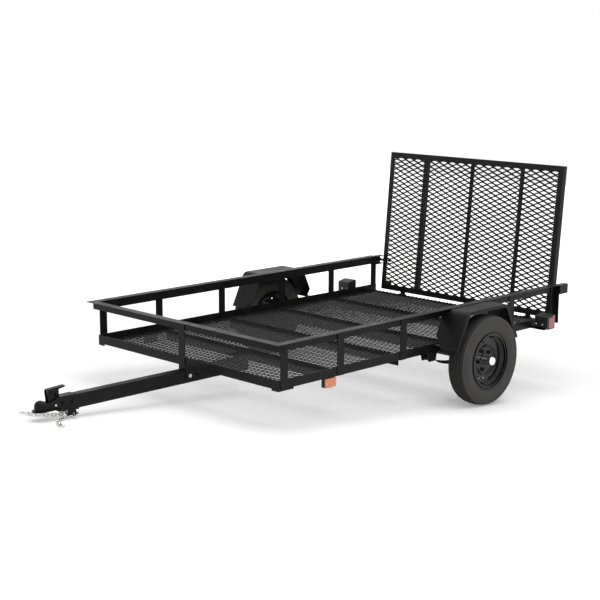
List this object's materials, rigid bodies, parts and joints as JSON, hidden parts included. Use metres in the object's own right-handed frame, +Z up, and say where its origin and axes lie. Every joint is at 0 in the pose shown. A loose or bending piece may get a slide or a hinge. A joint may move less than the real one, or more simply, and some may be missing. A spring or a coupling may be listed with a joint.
{
  "type": "utility trailer",
  "caption": "Low single-axle utility trailer with an open mesh floor, low side rails, flat fenders, a straight tongue with a ball coupler, and an upright mesh ramp gate.",
  "frame": {"origin": "bottom centre of the parked trailer's bounding box, on the floor", "axes": "+X forward to the coupler, +Y to the trailer's left, +Z up; the trailer is parked nose down on its chain plate, pitched 4.68 degrees"},
  "size_m": [3.4828, 1.975, 1.3983],
  "materials": {
    "black_enamel": "semi-gloss black enamel over steel",
    "tyre_rubber": "black tyre rubber with circumferential grooves",
    "wheel_enamel": "gloss black wheel enamel",
    "bright_zinc": "bright zinc plate",
    "amber_lens": "amber ribbed lens",
    "red_lens": "red lens",
    "lamp_plastic": "black moulded plastic",
    "spring_steel": "black painted spring steel"
  },
  "bodies": {
    "chassis": {"axle_beam": "spring_steel", "axle_clamps": "spring_steel", "chain_left": "bright_zinc", "chain_plate": "black_enamel", "chain_right": "bright_zinc", "corner_clips": "black_enamel", "coupler_body": "black_enamel", "coupler_bolts": "black_enamel", "coupler_latch": "black_enamel", "crossmembers": "black_enamel", "fender_braces": "black_enamel", "fender_left": "black_enamel", "fender_right": "black_enamel", "floor_mesh": "black_enamel", "front_post": "black_enamel", "hinge_brackets": "black_enamel", "lamp_brackets": "black_enamel", "latch_keepers": "black_enamel", "leaf_springs": "spring_steel", "lower_rail_front": "black_enamel", "lower_rail_left": "black_enamel", "lower_rail_rear": "black_enamel", "lower_rail_right": "black_enamel", "marker_brackets": "black_enamel", "marker_housings": "lamp_plastic", "marker_lenses": "amber_lens", "posts_left": "black_enamel", "posts_right": "black_enamel", "spring_hangers": "spring_steel", "tail_lamp_housings": "lamp_plastic", "tail_lamp_lenses": "red_lens", "tongue_bolts": "bright_zinc", "tongue_bracket": "black_enamel", "tongue_tube": "black_enamel", "top_rail_front": "black_enamel", "top_rail_left": "black_enamel", "top_rail_right": "black_enamel"},
    "gate": {"gate_bars": "black_enamel", "gate_ends": "black_enamel", "gate_knuckles": "black_enamel", "gate_mesh": "black_enamel", "gate_sides": "black_enamel", "latch_pins": "black_enamel", "reflectors": "red_lens"},
    "wheel_left_body": {"wheel_left": "wheel_enamel", "tyre_left": "tyre_rubber", "hub_left": "wheel_enamel", "hub_cap_left": "bright_zinc"},
    "wheel_right_body": {"wheel_right": "wheel_enamel", "tyre_right": "tyre_rubber", "hub_right": "wheel_enamel", "hub_cap_right": "bright_zinc"}
  },
  "joints": [
    {"name": "wheel_left_spin", "type": "hinge", "parent": "chassis", "child": "wheel_left_body", "pos_m": [-0.75513, 0.9125, 0.268], "axis": [0, 1, 0], "continuous": true},
    {"name": "wheel_right_spin", "type": "hinge", "parent": "chassis", "child": "wheel_right_body", "pos_m": [-0.75513, -0.9125, 0.268], "axis": [0, 1, 0], "continuous": true},
    {"name": "gate_hinge", "type": "hinge", "parent": "chassis", "child": "gate", "pos_m": [-1.70752, 0, 0.40013], "axis": [0, -1, 0], "range_deg": [0, 111]}
  ]
}
